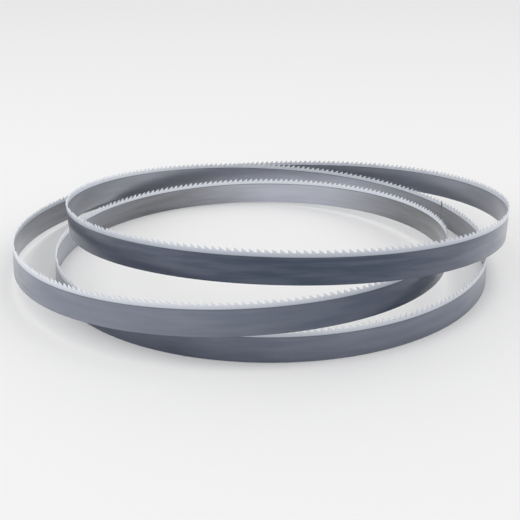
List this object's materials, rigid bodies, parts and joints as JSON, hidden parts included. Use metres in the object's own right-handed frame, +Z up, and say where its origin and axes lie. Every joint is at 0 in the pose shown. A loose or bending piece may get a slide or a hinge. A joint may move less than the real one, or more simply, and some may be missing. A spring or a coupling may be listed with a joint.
{
  "type": "band saw blade",
  "caption": "Endless band saw blade lying coiled: a thin steel band with its back edge down and its toothed edge up, the teeth set to either side by turns.",
  "frame": {"origin": "middle of the coil's footprint, on the surface that it stands on", "axes": "+Z up, from the back edge to the teeth; +X along the coil's longest width; -Y is the side seen in front in the picture"},
  "size_m": [0.4606, 0.44, 0.0922],
  "materials": {
    "band_steel": "satin blue-grey spring steel, with a bright ground strip along the teeth"
  },
  "bodies": {
    "root": {"blade": "band_steel"}
  },
  "joints": []
}
